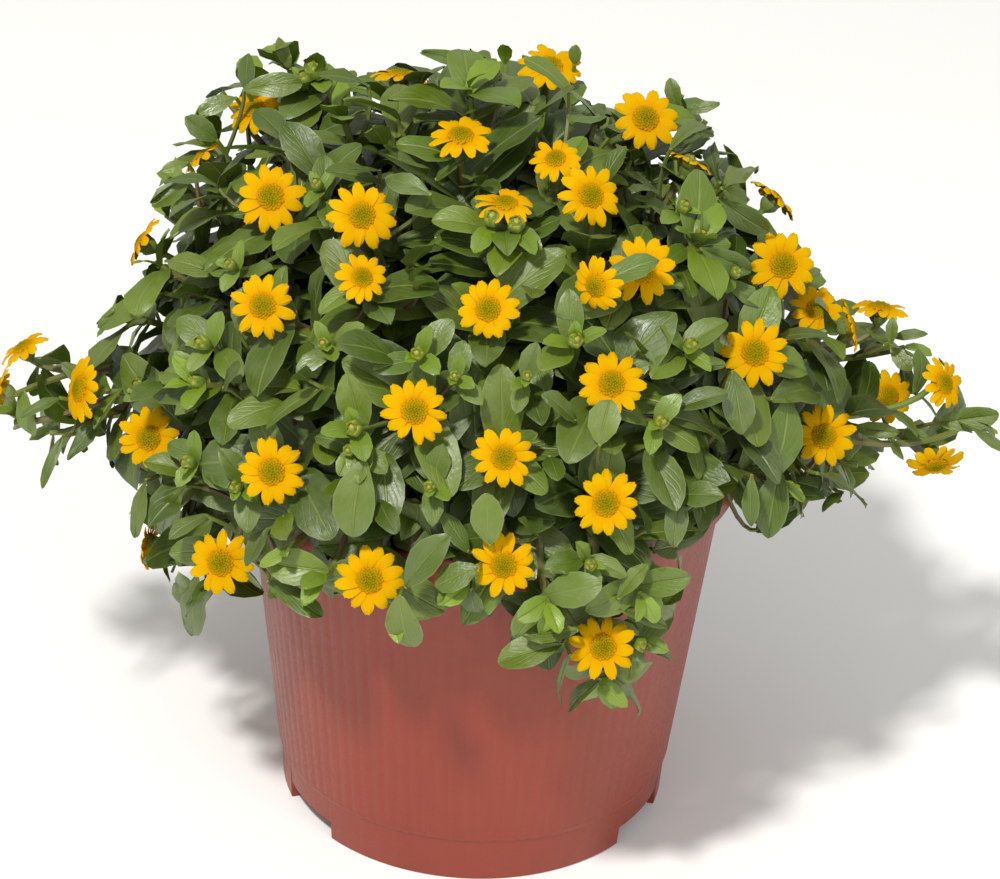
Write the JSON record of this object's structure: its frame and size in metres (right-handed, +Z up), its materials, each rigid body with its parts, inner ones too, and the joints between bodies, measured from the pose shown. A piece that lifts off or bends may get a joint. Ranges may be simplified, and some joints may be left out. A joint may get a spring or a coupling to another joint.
{
  "type": "potted creeping zinnia",
  "caption": "Creeping zinnia in a round plastic nursery pot: a leafy mound that trails over the lip, with small yellow daisy blooms.",
  "frame": {"origin": "on the pot's axis, on the surface that the pot stands on, under the middle of the whole plant", "axes": "+Z up, -Y towards the front of the picture, +X to its right, along the plant's widest spread"},
  "size_m": [0.2537, 0.1915, 0.2013],
  "materials": {
    "pot": "terracotta-coloured moulded plastic with fine upright flutes",
    "soil": "dark crumbly potting soil",
    "foliage": "semi-gloss green leaves on green to brown stems",
    "bloom": "matt golden-yellow ray petals round an olive-yellow disc"
  },
  "bodies": {
    "root": {"bloom_01": "bloom", "bloom_02": "bloom", "bloom_03": "bloom", "bloom_04": "bloom", "bloom_05": "bloom", "bloom_06": "bloom", "bloom_07": "bloom", "bloom_08": "bloom", "bloom_09": "bloom", "bloom_10": "bloom", "bloom_11": "bloom", "bloom_12": "bloom", "bloom_13": "bloom", "bloom_14": "bloom", "bloom_15": "bloom", "bloom_16": "bloom", "bloom_17": "bloom", "bloom_18": "bloom", "bloom_19": "bloom", "bloom_20": "bloom", "bloom_21": "bloom", "bloom_22": "bloom", "bloom_23": "bloom", "bloom_24": "bloom", "bloom_25": "bloom", "bloom_26": "bloom", "bloom_27": "bloom", "bloom_28": "bloom", "bloom_29": "bloom", "bloom_30": "bloom", "bloom_31": "bloom", "bloom_32": "bloom", "bloom_33": "bloom", "bloom_34": "bloom", "bloom_35": "bloom", "bloom_36": "bloom", "bloom_37": "bloom", "bloom_38": "bloom", "bloom_39": "bloom", "bloom_40": "bloom", "bloom_41": "bloom", "bloom_42": "bloom", "bloom_43": "bloom", "bloom_44": "bloom", "bloom_45": "bloom", "bloom_46": "bloom", "bloom_47": "bloom", "leafy_stem_1": "foliage", "leafy_stem_2": "foliage", "leafy_stem_3": "foliage", "leafy_stem_4": "foliage", "leafy_stem_5": "foliage", "leafy_stem_6": "foliage", "leafy_stem_7": "foliage", "leafy_stem_8": "foliage", "pot": "pot", "soil": "soil"}
  },
  "joints": []
}
